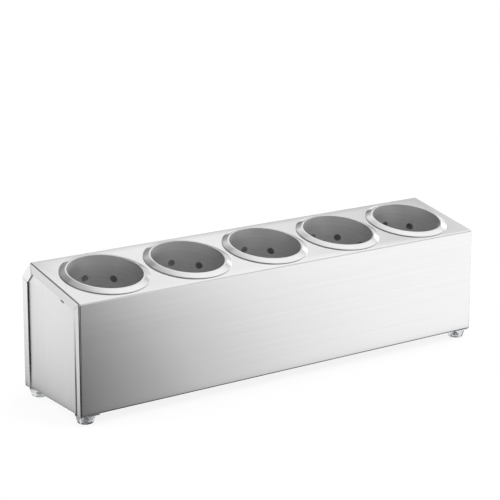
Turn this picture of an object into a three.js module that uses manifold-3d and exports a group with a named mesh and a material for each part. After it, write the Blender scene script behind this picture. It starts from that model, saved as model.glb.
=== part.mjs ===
// A cutlery rack: a folded sheet-steel stand whose sloping top holds a row of lift-out perforated cylinders.
// Lengths are millimetres. +X runs along the rack, the front faces -Y and +Z is up.
// The origin lies on the floor, under the middle of the rack.

import * as THREE from 'three';
import { mergeVertices } from 'three/addons/utils/BufferGeometryUtils.js';
import Module from 'manifold-3d';

// Cutlery cylinders
const CYLINDER_BORE = 94; // inside diameter
const CYLINDER_WALL = 0.8;
const CYLINDER_HEIGHT = 137; // lip to underside
const CYLINDER_BASE_RADIUS = 5; // rounding from wall to base
const RIM_OVERHANG = 8.6; // rim width outside the wall
const RIM_EDGE = 0.9; // height of the rim's outer edge
const RIM_RISE = 3.1; // climb of the rim from its outer edge to the lip
const LIP_RADIUS = 1.1; // rounding of the lip
const REST_GAP = 0.3; // between a rim and the sheet that it rests on
const HOLE_DIAMETER = 9.5;
const HOLE_ROW_DEPTH = 27; // top of the stand to the first row of holes
const HOLE_ROW_PITCH = 26;
const BASE_HOLE_CIRCLE = 27; // radius of the ring of holes in the base
const HOLES_PER_ROW = 8;
const BASE_HOLES = 6;
const CYLINDER_TURNS = [89, 80, 86, 93, 84]; // degrees that each cylinder is turned in its seat

// Stand
const RACK_LENGTH = 620;
const SLOPE_ANGLE = THREE.MathUtils.degToRad(11.07); // of the top, falling to the front
const FRONT_LAND = 4.2; // front fold to the rims
const REAR_LAND = 5.9; // rims to the ridge
const END_LAND = 12; // least width of top between a rim and the end of the rack
const RIM_SPACING = 7.2; // between neighbouring rims
const CHAMFER_RUN = 22.4; // rear chamfer, front to back
const CHAMFER_DROP = 22.6;
const BASE_CLEARANCE = 13.2; // under the cylinders, down to the stand's bottom edge
const SEAT_CLEARANCE = 1.2; // round a cylinder in its hole
const SHEET = 1;
const BEND_RADIUS = 2; // outside of the folds at the ends
const FOLD_EASE = 0.6; // by how much the long folds are rounder than those at the ends
const END_FLANGE = 13; // turned-in edges of each end
const MITRE_GAP = 0.5;
const RELIEF_RADIUS = 0.9; // drilled at the inner end of each mitre
const EDGE_SLOT_LENGTH = 8;
const EDGE_SLOT_WIDTH = 1.8;
const EDGE_SLOT_INSET = 15.9; // from the top's outer face, so that it shows just under the sloping flange
const EDGE_SLOT_SHARE = 0.28; // place along that flange, from the front

// End panels
const PANEL_RECESS = 0.8; // behind the end flanges
const PANEL_RETURN = 11; // turned-in rim of the panel
const LAP_GAP = 0.1; // between lapped sheets
const NOTCH_CLEARANCE = 0.4;

// Feet and their fixings
const FOOT_HEIGHT = 11.4;
const FOOT_TOP_RADIUS = 12.8;
const FOOT_BASE_RADIUS = 9.9;
const FOOT_EDGE_RADIUS = 2.2;
const FOOT_MARGIN = 0.8; // foot to the outside faces
const RETURN_MARGIN = 12.4; // bottom flange beyond the screws
const SCREW_RADIUS = 2;
const SCREW_CLEARANCE = 0.3;
const SCREW_TIP = 1.5; // beyond the nut
const HEAD_RADIUS = 3.9;
const HEAD_HEIGHT = 2.6;
const DRIVE_WIDTH = 1;
const DRIVE_DEPTH = 1.4;
const WASHER_RADIUS = 4.7;
const WASHER_THICKNESS = 0.8;
const POCKET_HEIGHT = 7; // recess for the screw head
const POCKET_CLEARANCE = 0.5;
const NUT_FLATS = 7;
const NUT_HEIGHT = 3.2;

const OVERRUN = 1; // how far every cut runs past its sheet
const SEAT_SIDES = 40;
const HOLE_SIDES = 8;
const FOLD_STEPS = 3;
const TURNED_SIDES = 16;
const SCREW_SIDES = 12;

// Sizes that follow from those above
const boreRadius = CYLINDER_BORE / 2;
const cupRadius = boreRadius + CYLINDER_WALL;
const rimRadius = cupRadius + RIM_OVERHANG;
const lipLevel = REST_GAP + RIM_EDGE + RIM_RISE;
const cupDepth = CYLINDER_HEIGHT - lipLevel; // below the sloping top
const slopeLength = 2 * rimRadius + FRONT_LAND + REAR_LAND;
const seatDistance = FRONT_LAND + rimRadius; // front fold to the cylinders' axes, up the slope
const sin = Math.sin(SLOPE_ANGLE);
const cos = Math.cos(SLOPE_ANGLE);
const rackDepth = slopeLength * cos + CHAMFER_RUN;
const frontFace = -rackDepth / 2;
const rearFace = rackDepth / 2;
const bottomEdge = FOOT_HEIGHT + SHEET + LAP_GAP;
const frontHeight = BASE_CLEARANCE + cupDepth * cos + (cupRadius - seatDistance) * sin;
const frontFold = new THREE.Vector2(frontFace, bottomEdge + frontHeight);
const upSlope = new THREE.Vector2(cos, sin);
const ridge = frontFold.clone().addScaledVector(upSlope, slopeLength);
const rearFold = new THREE.Vector2(ridge.x + CHAMFER_RUN, ridge.y - CHAMFER_DROP);
const seat = frontFold.clone().addScaledVector(upSlope, seatDistance);
const cylinderPitch = 2 * rimRadius + RIM_SPACING;
const cylinderCount = Math.floor((RACK_LENGTH - 2 * END_LAND + RIM_SPACING) / cylinderPitch);
const footInset = FOOT_TOP_RADIUS + FOOT_MARGIN;
const bottomReturn = footInset + RETURN_MARGIN;
const panelFace = RACK_LENGTH / 2 - SHEET - PANEL_RECESS; // outside of an end panel, from the middle
const foldRadius = BEND_RADIUS + FOLD_EASE;
const screwHoleRadius = SCREW_RADIUS + SCREW_CLEARANCE;
const cupSides = 2 * HOLES_PER_ROW; // each hole lies on one flat of the wall, in odd and even rows

const STEEL = { color: 0xd6d7d8, metalness: 0.9, roughness: 0.32 };
const PANEL_STEEL = { color: 0xdcdddd, metalness: 0.9, roughness: 0.36 };
const CUP_STEEL = { color: 0xe2e3e4, metalness: 0.95, roughness: 0.22 };
const FIXING_STEEL = { color: 0xa8abae, metalness: 0.9, roughness: 0.35 };
const CLEAR_RUBBER = { color: 0xd9dde0, metalness: 0, roughness: 0.2, transparent: true, opacity: 0.45 };

const wasm = await Module();
wasm.setup();

// A closed geometry as a solid that can be joined and cut.
function toSolid(geometry) {
  const bare = geometry.clone();
  bare.deleteAttribute('normal');
  bare.deleteAttribute('uv');
  const welded = mergeVertices(bare);
  return new wasm.Manifold(new wasm.Mesh({
    numProp: 3,
    vertProperties: welded.attributes.position.array,
    triVerts: new Uint32Array(welded.index.array),
  }));
}

// A mesh of that solid, with its name and finish.
function toMesh(name, solid, finish) {
  const { vertProperties, triVerts } = solid.getMesh();
  const geometry = new THREE.BufferGeometry();
  geometry.setAttribute('position', new THREE.BufferAttribute(vertProperties, 3));
  geometry.setIndex(new THREE.BufferAttribute(triVerts, 1));
  const flat = geometry.toNonIndexed();
  flat.computeVertexNormals();
  const mesh = new THREE.Mesh(flat, new THREE.MeshStandardMaterial(finish));
  mesh.name = name;
  return mesh;
}

function cut(solid, cutters) {
  return cutters.reduce((rest, cutter) => rest.subtract(cutter), solid);
}

// The low and high ends of a stretch on one side of the middle.
function span(side, from, to) {
  return [Math.min(side * from, side * to), Math.max(side * from, side * to)];
}

function box(low, high) {
  const size = new THREE.Vector3().subVectors(high, low);
  const middle = new THREE.Vector3().addVectors(low, high).multiplyScalar(0.5);
  return toSolid(new THREE.BoxGeometry(size.x, size.y, size.z).translate(middle.x, middle.y, middle.z));
}

// A profile of (radius, height) points turned about +Z, with a flat centred on +X.
function turned(profile, sides) {
  const geometry = new THREE.LatheGeometry(profile.map(([r, z]) => new THREE.Vector2(r, z)), sides);
  return geometry.rotateX(Math.PI / 2).rotateZ(Math.PI / 2 + Math.PI / sides);
}

// A plain bar about +Z from one height to another.
function bar(radius, low, high, sides) {
  const geometry = new THREE.CylinderGeometry(radius, radius, high - low, sides);
  return toSolid(geometry.rotateX(Math.PI / 2).translate(0, 0, (low + high) / 2));
}

// Points of an arc from one direction to another, in degrees, about a centre.
function arc(centreR, centreZ, radius, from, to, steps) {
  return Array.from({ length: steps + 1 }, (_, i) => {
    const angle = THREE.MathUtils.degToRad(from + (to - from) * i / steps);
    return [centreR + radius * Math.cos(angle), centreZ + radius * Math.sin(angle)];
  });
}

// Where two lines cross, each given by a point and a direction.
function crossing(p, u, q, v) {
  const along = new THREE.Vector2().subVectors(q, p).cross(v) / u.cross(v);
  return p.clone().addScaledVector(u, along);
}

// The end view of the stand, front, slope, chamfer and rear all set in by the same distance,
// from the floor level given. Corners run up the front, back over the top and down the rear.
function outline(inset, floor) {
  const chamfer = new THREE.Vector2().subVectors(rearFold, ridge).normalize();
  const slopePoint = frontFold.clone().add(new THREE.Vector2(inset * sin, -inset * cos));
  const chamferPoint = ridge.clone().add(new THREE.Vector2(inset * chamfer.y, -inset * chamfer.x));
  const up = new THREE.Vector2(0, 1);
  const front = new THREE.Vector2(frontFace + inset, floor);
  const rear = new THREE.Vector2(rearFace - inset, floor);
  return {
    front,
    frontTop: crossing(front, up, slopePoint, upSlope),
    ridge: crossing(slopePoint, upSlope, chamferPoint, chamfer),
    rearTop: crossing(rear, up, chamferPoint, chamfer),
    rear,
  };
}

// The same outline as a loop of points, its three upper corners rounded.
function roundedLoop(corners, radius) {
  const { front, frontTop, ridge: top, rearTop, rear } = corners;
  const rounded = (before, corner, after) => {
    if (radius <= 0) return [corner];
    const back = before.clone().sub(corner).normalize();
    const on = after.clone().sub(corner).normalize();
    const half = Math.acos(back.dot(on)) / 2;
    const centre = corner.clone().addScaledVector(back.clone().add(on).normalize(), radius / Math.sin(half));
    const start = corner.clone().addScaledVector(back, radius / Math.tan(half)).sub(centre);
    const sweep = 2 * half - Math.PI; // clockwise, as the loop runs
    return Array.from({ length: FOLD_STEPS + 1 }, (_, i) =>
      start.clone().rotateAround(new THREE.Vector2(), sweep * i / FOLD_STEPS).add(centre));
  };
  return [
    front,
    ...rounded(front, frontTop, top),
    ...rounded(frontTop, top, rearTop),
    ...rounded(top, rearTop, rear),
    rear,
  ];
}

// The end view of a sheet that lies inside the stand's skin, every fold round about the same centre.
function nested(inset, floor) {
  return roundedLoop(outline(inset, floor), foldRadius - inset);
}

// A loop in the end view drawn out along X, its end edges rounded where a radius is given.
function prism(loop, xLow, xHigh, edgeRadius = 0) {
  const geometry = new THREE.ExtrudeGeometry(new THREE.Shape(loop), {
    depth: xHigh - xLow - 2 * edgeRadius,
    bevelEnabled: edgeRadius > 0,
    bevelThickness: edgeRadius,
    bevelSize: edgeRadius,
    bevelOffset: -edgeRadius,
    bevelSegments: FOLD_STEPS,
  });
  const endViewToRack = new THREE.Matrix4().makeBasis(
    new THREE.Vector3(0, 1, 0), new THREE.Vector3(0, 0, 1), new THREE.Vector3(1, 0, 0));
  return toSolid(geometry.applyMatrix4(endViewToRack).translate(xLow + edgeRadius, 0, 0));
}

// The positions of the feet, with the words that name them.
function footPlaces() {
  const x = RACK_LENGTH / 2 - footInset;
  const y = rearFace - footInset;
  return [
    { name: 'front_left', x: -x, y: -y },
    { name: 'front_right', x, y: -y },
    { name: 'rear_left', x: -x, y },
    { name: 'rear_right', x, y },
  ];
}

// Screw holes under every foot, through whatever lies between two levels.
function screwHoles(low, high) {
  return footPlaces().map(({ x, y }) => bar(screwHoleRadius, low, high, SCREW_SIDES).translate([x, y, 0]));
}

function cylinderPlaces() {
  return Array.from({ length: cylinderCount }, (_, i) => (i - (cylinderCount - 1) / 2) * cylinderPitch);
}

// A cutter for the slot in an end panel, along the inner edge of the sloping flange.
function edgeSlot(xLow, xHigh) {
  const line = outline(EDGE_SLOT_INSET, bottomEdge);
  const place = line.frontTop.clone().lerp(line.ridge, EDGE_SLOT_SHARE);
  return toSolid(new THREE.BoxGeometry(xHigh - xLow, EDGE_SLOT_LENGTH, EDGE_SLOT_WIDTH)
    .rotateX(SLOPE_ANGLE).translate((xLow + xHigh) / 2, place.x, place.y));
}

// Cutters for one end's mitred corners: slits with drilled reliefs.
function mitreCutters(xLow, xHigh) {
  const outer = outline(0, bottomEdge);
  const inner = outline(END_FLANGE, bottomEdge);
  const width = xHigh - xLow;
  const middle = (xLow + xHigh) / 2;
  return ['frontTop', 'ridge', 'rearTop'].flatMap((corner) => {
    const from = outer[corner];
    const to = inner[corner];
    const line = to.clone().sub(from);
    const length = line.length() - 2 * BEND_RADIUS;
    const centre = to.clone().addScaledVector(line.clone().normalize(), -length / 2);
    const slit = new THREE.BoxGeometry(width, length, MITRE_GAP)
      .rotateX(line.angle()).translate(middle, centre.x, centre.y);
    const relief = new THREE.CylinderGeometry(RELIEF_RADIUS, RELIEF_RADIUS, width, HOLE_SIDES)
      .rotateZ(Math.PI / 2).translate(middle, to.x, to.y);
    return [toSolid(slit), toSolid(relief)];
  });
}

// One folded sheet: front, sloping top, chamfer and rear, with turned-in edges at the ends and the bottom.
function bodyShell() {
  const end = RACK_LENGTH / 2;
  const innerRadius = Math.max(BEND_RADIUS - SHEET, 0);
  const under = bottomEdge - 2 * BEND_RADIUS - OVERRUN; // the ends' rounding stays below the cut
  const outside = prism(nested(0, under), -end, end, BEND_RADIUS);
  const inside = prism(nested(SHEET, under), -end + SHEET, end - SHEET, innerRadius);
  const floorPlate = box(
    new THREE.Vector3(-end, frontFace, bottomEdge),
    new THREE.Vector3(end, rearFace, bottomEdge + SHEET),
  );
  const below = box(
    new THREE.Vector3(-end - OVERRUN, frontFace - OVERRUN, under - OVERRUN),
    new THREE.Vector3(end + OVERRUN, rearFace + OVERRUN, bottomEdge),
  );
  const folded = outside.subtract(inside.subtract(floorPlate)).subtract(below);

  const returnEnd = panelFace - SHEET - NOTCH_CLEARANCE; // the bottom flanges stop short of the end panels
  const opening = box(
    new THREE.Vector3(-end + SHEET, frontFace + bottomReturn, bottomEdge - OVERRUN),
    new THREE.Vector3(end - SHEET, rearFace - bottomReturn, bottomEdge + SHEET + OVERRUN),
  );
  const endCuts = [-1, 1].flatMap((side) => {
    const [wallLow, wallHigh] = span(side, end + OVERRUN, end - SHEET - OVERRUN);
    const [notchLow, notchHigh] = span(side, end - SHEET, returnEnd);
    const window = prism(nested(END_FLANGE, bottomEdge - OVERRUN), wallLow, wallHigh);
    const cornerNotch = box(
      new THREE.Vector3(notchLow, frontFace + SHEET, bottomEdge - OVERRUN),
      new THREE.Vector3(notchHigh, rearFace - SHEET, bottomEdge + SHEET + OVERRUN),
    );
    return [window, cornerNotch, ...mitreCutters(wallLow, wallHigh)];
  });
  const seatRadius = cupRadius + SEAT_CLEARANCE;
  const seats = cylinderPlaces().map((x) => toSolid(
    new THREE.CylinderGeometry(seatRadius, seatRadius, 2 * (SHEET + OVERRUN), SEAT_SIDES)
      .rotateX(Math.PI / 2 + SLOPE_ANGLE).translate(x, seat.x, seat.y)));
  const holes = screwHoles(bottomEdge - OVERRUN, bottomEdge + SHEET + OVERRUN);
  return toMesh('body_shell', cut(folded, [opening, ...endCuts, ...seats, ...holes]), STEEL);
}

// The flat panel that closes one end, with a turned-in rim and a bottom flange that carries the feet.
function endPanel(name, side) {
  const rimFloor = bottomEdge + SHEET + NOTCH_CLEARANCE;
  const back = panelFace - SHEET;
  const [plateLow, plateHigh] = span(side, panelFace, back);
  const [trayLow, trayHigh] = span(side, panelFace, panelFace - PANEL_RETURN);
  const [hollowLow, hollowHigh] = span(side, back, panelFace - PANEL_RETURN - OVERRUN);
  const [flangeLow, flangeHigh] = span(side, panelFace, RACK_LENGTH / 2 - bottomReturn);
  const plate = prism(nested(SHEET + LAP_GAP, FOOT_HEIGHT), plateLow, plateHigh);
  const tray = prism(nested(SHEET + LAP_GAP, rimFloor), trayLow, trayHigh)
    .subtract(prism(nested(2 * SHEET + LAP_GAP, rimFloor - OVERRUN), hollowLow, hollowHigh));
  const flange = box(
    new THREE.Vector3(flangeLow, frontFace + LAP_GAP, FOOT_HEIGHT),
    new THREE.Vector3(flangeHigh, rearFace - LAP_GAP, FOOT_HEIGHT + SHEET),
  );
  const holes = screwHoles(FOOT_HEIGHT - OVERRUN, FOOT_HEIGHT + SHEET + OVERRUN);
  const slot = edgeSlot(...span(side, panelFace + OVERRUN, back - OVERRUN));
  return toMesh(name, cut(plate.add(tray).add(flange), [slot, ...holes]), PANEL_STEEL);
}

// The section of a cup about its own axis, with height zero at the top of the stand.
function cupProfile() {
  const base = -cupDepth;
  const edge = CYLINDER_BASE_RADIUS;
  const edgeTop = REST_GAP + RIM_EDGE;
  const crest = lipLevel - LIP_RADIUS;
  const skin = CYLINDER_WALL;
  return [
    [0, base],
    ...arc(cupRadius - edge, base + edge, edge, -90, 0, 2),
    [cupRadius, lipLevel - skin],
    [rimRadius, REST_GAP],
    [rimRadius, edgeTop],
    ...arc(boreRadius + LIP_RADIUS, crest, LIP_RADIUS, 70, 180, 2),
    ...arc(boreRadius + skin - edge, base + edge, edge - skin, 0, -90, 2),
    [0, base + skin],
  ];
}

// Cutters for a cup's rows of holes and for those in its base.
function perforations() {
  const radius = HOLE_DIAMETER / 2;
  const lowest = -cupDepth + CYLINDER_BASE_RADIUS + HOLE_DIAMETER;
  const rows = Math.floor((-HOLE_ROW_DEPTH - lowest) / HOLE_ROW_PITCH) + 1;
  const pitch = 2 * Math.PI / HOLES_PER_ROW;
  const wall = Array.from({ length: rows * HOLES_PER_ROW }, (_, i) => {
    const row = Math.floor(i / HOLES_PER_ROW);
    const angle = (i % HOLES_PER_ROW + (row % 2) / 2) * pitch; // odd rows fall between the even ones
    const hole = new THREE.CylinderGeometry(radius, radius, CYLINDER_WALL + 2 * OVERRUN, HOLE_SIDES);
    return toSolid(hole.rotateZ(Math.PI / 2)
      .translate(boreRadius + CYLINDER_WALL / 2, 0, -HOLE_ROW_DEPTH - row * HOLE_ROW_PITCH)
      .rotateZ(angle));
  });
  const through = [-cupDepth - OVERRUN, -cupDepth + CYLINDER_WALL + OVERRUN];
  const centre = bar(radius, ...through, HOLE_SIDES);
  const ring = Array.from({ length: BASE_HOLES }, (_, i) => {
    const angle = 2 * Math.PI * i / BASE_HOLES;
    return centre.translate([BASE_HOLE_CIRCLE * Math.cos(angle), BASE_HOLE_CIRCLE * Math.sin(angle), 0]);
  });
  return [...wall, centre, ...ring];
}

// Every cylinder stands square to the sloping top, in its own hole.
function cylinders() {
  const cup = cut(toSolid(turned(cupProfile(), cupSides)), perforations());
  return cylinderPlaces().map((x, i) => {
    const mesh = toMesh(`cutlery_cylinder_${i + 1}`, cup, CUP_STEEL);
    mesh.rotation.z = THREE.MathUtils.degToRad(CYLINDER_TURNS[i % CYLINDER_TURNS.length]);
    const tilted = new THREE.Group();
    tilted.position.set(x, seat.x, seat.y);
    tilted.rotation.x = SLOPE_ANGLE;
    return tilted.add(mesh);
  });
}

// A tapered clear foot with a pocket for the screw head, its underside on the floor.
function foot() {
  const pocket = WASHER_RADIUS + POCKET_CLEARANCE;
  const profile = [
    [pocket, 0],
    ...arc(FOOT_BASE_RADIUS - FOOT_EDGE_RADIUS, FOOT_EDGE_RADIUS, FOOT_EDGE_RADIUS, -90, 0, 3),
    [FOOT_TOP_RADIUS, FOOT_HEIGHT],
    [screwHoleRadius, FOOT_HEIGHT],
    [screwHoleRadius, POCKET_HEIGHT],
    [pocket, POCKET_HEIGHT],
    [pocket, 0],
  ];
  return toSolid(turned(profile, TURNED_SIDES));
}

function washer() {
  const low = POCKET_HEIGHT - WASHER_THICKNESS;
  const ring = bar(WASHER_RADIUS, low, POCKET_HEIGHT, TURNED_SIDES);
  return ring.subtract(bar(screwHoleRadius, low - OVERRUN, POCKET_HEIGHT + OVERRUN, SCREW_SIDES));
}

// A domed screw, head down, with a cross-shaped drive.
function screw() {
  const headTop = POCKET_HEIGHT - WASHER_THICKNESS;
  const headLow = headTop - HEAD_HEIGHT;
  const tip = bottomEdge + SHEET + NUT_HEIGHT + SCREW_TIP;
  const dome = HEAD_HEIGHT / 2;
  const profile = [
    [0, headLow],
    [HEAD_RADIUS - dome, headLow],
    [HEAD_RADIUS, headLow + dome],
    [HEAD_RADIUS, headTop],
    [SCREW_RADIUS, headTop],
    [SCREW_RADIUS, tip],
    [0, tip],
  ];
  const arm = HEAD_RADIUS - dome;
  const drive = [[arm, DRIVE_WIDTH / 2], [DRIVE_WIDTH / 2, arm]].map(([x, y]) => box(
    new THREE.Vector3(-x, -y, headLow - OVERRUN),
    new THREE.Vector3(x, y, headLow + DRIVE_DEPTH),
  ));
  return cut(toSolid(turned(profile, SCREW_SIDES)), drive);
}

function nut() {
  const low = bottomEdge + SHEET;
  const hexagon = bar(NUT_FLATS / Math.sqrt(3), low, low + NUT_HEIGHT, 6);
  return hexagon.subtract(bar(screwHoleRadius, low - OVERRUN, low + NUT_HEIGHT + OVERRUN, SCREW_SIDES));
}

// Each corner has a foot held by a screw, a washer in the foot's pocket and a nut on the bottom flange.
function feet() {
  const pieces = [
    ['foot', foot(), CLEAR_RUBBER],
    ['foot_washer', washer(), FIXING_STEEL],
    ['foot_screw', screw(), FIXING_STEEL],
    ['foot_nut', nut(), FIXING_STEEL],
  ];
  return footPlaces().map(({ name, x, y }) => {
    const corner = new THREE.Group();
    corner.position.set(x, y, 0);
    return corner.add(...pieces.map(([piece, solid, finish]) => toMesh(`${piece}_${name}`, solid, finish)));
  });
}

const rack = new THREE.Group();
rack.add(
  bodyShell(),
  endPanel('end_panel_left', -1),
  endPanel('end_panel_right', 1),
  ...cylinders(),
  ...feet(),
);

export default rack;
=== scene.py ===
"""A cutlery cylinder rack in satin steel, its finishes and the studio that it stands in.

Lengths are metres in the rack's own frame: +X along it, the front facing -Y, the floor at z = 0.
"""

from __future__ import annotations

import logging
from contextlib import contextmanager
from dataclasses import dataclass
from enum import Enum
from math import acos, cos, pi, radians, sin, sqrt, tan
from typing import Callable, Iterator, Sequence, Union

import bmesh
import bpy
from mathutils import Matrix, Vector


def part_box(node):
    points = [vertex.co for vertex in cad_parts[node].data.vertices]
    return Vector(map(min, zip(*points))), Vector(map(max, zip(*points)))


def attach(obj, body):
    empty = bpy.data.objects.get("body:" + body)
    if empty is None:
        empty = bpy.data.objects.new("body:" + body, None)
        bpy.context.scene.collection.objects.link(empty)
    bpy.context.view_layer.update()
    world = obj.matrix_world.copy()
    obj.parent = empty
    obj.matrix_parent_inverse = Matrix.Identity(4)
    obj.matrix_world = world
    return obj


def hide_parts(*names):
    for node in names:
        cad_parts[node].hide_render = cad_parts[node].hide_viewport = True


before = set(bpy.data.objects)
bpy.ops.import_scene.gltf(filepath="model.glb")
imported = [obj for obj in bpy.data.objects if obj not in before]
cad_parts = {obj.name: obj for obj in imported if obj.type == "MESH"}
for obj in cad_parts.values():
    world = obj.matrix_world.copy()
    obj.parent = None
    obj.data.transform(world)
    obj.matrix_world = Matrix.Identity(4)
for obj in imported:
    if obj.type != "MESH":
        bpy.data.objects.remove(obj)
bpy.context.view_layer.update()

log = logging.getLogger("rack")

Point = tuple[float, float]
Colour = tuple[float, float, float]
Triple = tuple[float, float, float]  # such as a place or a direction
Stops = tuple[Point, ...]  # pairs of a distance and a level, in order
FaceTest = Callable[[Vector, Vector], bool]  # tells a face by its middle and its normal
EdgeTest = Callable[[bmesh.types.BMEdge], bool]

NEAR = 1e-5  # two places closer than this are the same
MERGE = 2e-6  # points closer than this are welded
CUT = 1e-7  # points closer than this to a cutting plane lie on it
SEED = 0.001  # width of the plane that a turned section starts from
FACING = 0.9  # a normal with more than this along a direction faces that way
SHARP = radians(32)  # edges with a wider turn stay crisp
FOLD_STEPS = 6  # strips across a long fold
END_FOLD_STEPS = 5  # strips across a fold at the ends
HOLE_SIDES = 24
SEAT_SIDES = 96
FLOOR_CARD = 0.001  # level of the cards on the floor
CANOPY = 3.0  # level of the cards overhead
SLOT_REACH = 0.002  # how far a slot's tool reaches to either side of its sheet
PLACE_ATTRIBUTE = "place_on_axis"
FLANGE_FACE = 0.3095  # the end flanges' outer faces lie beyond this, to either side
FLANGE_REAR = 0.049  # the sloping flanges lie in front of this
FLANGE_EDGE = (-0.0622, -0.0580)  # the front flanges' cut edges, with the painted shade line beside them
EDGE_SHADE_LEVELS = (0.055, 0.14)  # that painted shade line is full below the first and gone above the second
RIM_RADIUS = 0.0473  # a cup's rim lies outside this, above the top that it stands in
UP = Vector((0, 0, 1))
ALONG = Vector((1, 0, 0))


def near(a: float, b: float) -> bool:
    """Whether two lengths are the same within the bench's tolerance."""
    return abs(a - b) < NEAR


def arc(centre: Point, radius: float, start: float, end: float, steps: int) -> list[Point]:
    """Points on an arc of a section, its directions in degrees from outwards towards up."""
    turns = [radians(start + (end - start) * i / steps) for i in range(steps + 1)]
    return [(centre[0] + radius * cos(t), centre[1] + radius * sin(t)) for t in turns]


class Workpiece:
    """One mesh on the bench, shaped with the modelling operators."""

    def __init__(self, obj: bpy.types.Object) -> None:
        """Takes up an object as the piece in work."""
        self.obj = obj

    # Starting shapes

    @staticmethod
    def clear_bench() -> None:
        """Leaves nothing selected, so that the next operator meets one piece alone."""
        bpy.ops.object.select_all(action="DESELECT")

    @classmethod
    def take(cls, name: str) -> Workpiece:
        """Takes up the primitive that was just added, and puts its place in its mesh.

        Args:
            name: Name of the piece.

        Returns:
            The piece, its object at the origin.
        """
        obj = bpy.context.active_object
        obj.name = obj.data.name = name
        bpy.ops.object.transform_apply(location=True, rotation=True, scale=True)
        return cls(obj)

    @classmethod
    def block(cls, name: str, low: Vector, high: Vector) -> Workpiece:
        """A rectangular block.

        Args:
            name: Name of the piece.
            low: Lowest corner.
            high: Highest corner.

        Returns:
            The block.
        """
        cls.clear_bench()
        bpy.ops.mesh.primitive_cube_add(size=1, location=(low + high) / 2)
        bpy.context.active_object.scale = high - low
        return cls.take(name)

    @classmethod
    def rod(cls, name: str, radius: float, start: Vector, end: Vector, sides: int) -> Workpiece:
        """A straight round or many-sided bar.

        Args:
            name: Name of the piece.
            radius: Radius over its corners.
            start: Middle of one end.
            end: Middle of the other end.
            sides: Number of flats.

        Returns:
            The bar.
        """
        cls.clear_bench()
        line = end - start
        bpy.ops.mesh.primitive_cylinder_add(
            vertices=sides, radius=radius, depth=line.length, location=(start + end) / 2,
            rotation=line.to_track_quat("Z", "Y").to_euler())
        return cls.take(name)

    @classmethod
    def turned(cls, name: str, section: Sequence[Point], sides: int) -> Workpiece:
        """A section drawn point to point and spun once round the upright axis.

        Args:
            name: Name of the piece.
            section: Radius and height of each point, from the axis or round to the first again.
            sides: Number of steps in the turn.

        Returns:
            The turned piece, welded, with its faces pointing outwards.
        """
        cls.clear_bench()
        radius, height = section[0]
        bpy.ops.mesh.primitive_plane_add(size=SEED, location=(radius, 0, height))
        piece = cls.take(name)
        with piece.editing("VERT"):
            bpy.ops.mesh.merge(type="CENTER")
            for (r0, z0), (r1, z1) in zip(section, section[1:]):
                bpy.ops.mesh.extrude_vertices_move(
                    TRANSFORM_OT_translate={"value": (r1 - r0, 0, z1 - z0)})
            bpy.ops.mesh.select_all(action="SELECT")
            bpy.ops.mesh.spin(steps=sides, angle=2 * pi, center=(0, 0, 0), axis=UP)
        with piece.editing("VERT"):
            bpy.ops.mesh.remove_doubles(threshold=MERGE)
            bpy.ops.mesh.normals_make_consistent(inside=False)
        return piece

    def copy(self, name: str) -> Workpiece:
        """Another piece of the same shape.

        Args:
            name: Its name.

        Returns:
            The copy, with a mesh of its own.
        """
        twin = self.obj.copy()
        twin.data = self.obj.data.copy()
        twin.name = twin.data.name = name
        bpy.context.collection.objects.link(twin)
        return Workpiece(twin)

    # Shaping

    def hold(self) -> None:
        """Selects this piece alone."""
        self.clear_bench()
        self.obj.select_set(True)
        bpy.context.view_layer.objects.active = self.obj

    @contextmanager
    def editing(self, mode: str = "FACE",
                test: FaceTest | EdgeTest | None = None) -> Iterator[None]:
        """Opens the piece for editing, and closes it again.

        Args:
            mode: Whether VERT, EDGE or FACE parts are picked.
            test: Tells the faces or edges that are picked, or none for all.

        Yields:
            Nothing.
        """
        self.hold()
        bpy.ops.object.mode_set(mode="EDIT")
        bpy.ops.mesh.select_mode(type=mode)
        bpy.ops.mesh.select_all(action="DESELECT" if test else "SELECT")
        if test:
            shape = bmesh.from_edit_mesh(self.obj.data)
            if mode == "FACE":
                found = [f for f in shape.faces if test(f.calc_center_median(), f.normal)]
            else:
                found = [e for e in shape.edges if test(e)]
            for part in found:
                part.select_set(True)
            bmesh.update_edit_mesh(self.obj.data)
        try:
            yield
        finally:
            bpy.ops.object.mode_set(mode="OBJECT")

    def trim(self, point: Vector, normal: Vector, closed: bool = True) -> None:
        """Cuts off what lies on a plane's far side, and closes the cut with a face if asked."""
        with self.editing():
            bpy.ops.mesh.bisect(
                plane_co=point, plane_no=normal, use_fill=closed, clear_outer=True, threshold=CUT)

    def score(self, point: Vector, normal: Vector) -> None:
        """Draws a line of edges right round the piece where a plane meets it."""
        with self.editing():
            bpy.ops.mesh.bisect(plane_co=point, plane_no=normal, threshold=CUT)

    def round_edges(self, test: EdgeTest, offset: float, steps: int) -> None:
        """Rounds the edges that pass a test, from this distance off and in this many strips."""
        with self.editing("EDGE", test):
            bpy.ops.mesh.bevel(
                offset=offset, offset_type="OFFSET", segments=steps, profile=0.5,
                affect="EDGES", clamp_overlap=False)

    def draw_out(self, test: FaceTest, move: Vector) -> None:
        """Extrudes the faces that pass a test by a straight move."""
        with self.editing("FACE", test):
            bpy.ops.mesh.extrude_region_move(TRANSFORM_OT_translate={"value": move})

    def turn_in(self, test: FaceTest, centre: Vector, axis: Vector, reach: float) -> None:
        """Folds a sheet's rim through a right angle and carries it on straight.

        Args:
            test: Tells the rim's faces.
            centre: A point on the line that the fold turns about.
            axis: Direction of that line, for a turn to the right along it.
            reach: Straight length after the fold.
        """
        with self.editing("FACE", test):
            shape = bmesh.from_edit_mesh(self.obj.data)
            down = next(f.normal.copy() for f in shape.faces if f.select)
            bpy.ops.mesh.spin(steps=FOLD_STEPS, angle=-pi / 2, center=centre, axis=axis)
            ahead = Matrix.Rotation(pi / 2, 3, axis) @ down
            bpy.ops.mesh.extrude_region_move(TRANSFORM_OT_translate={"value": ahead * reach})

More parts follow.
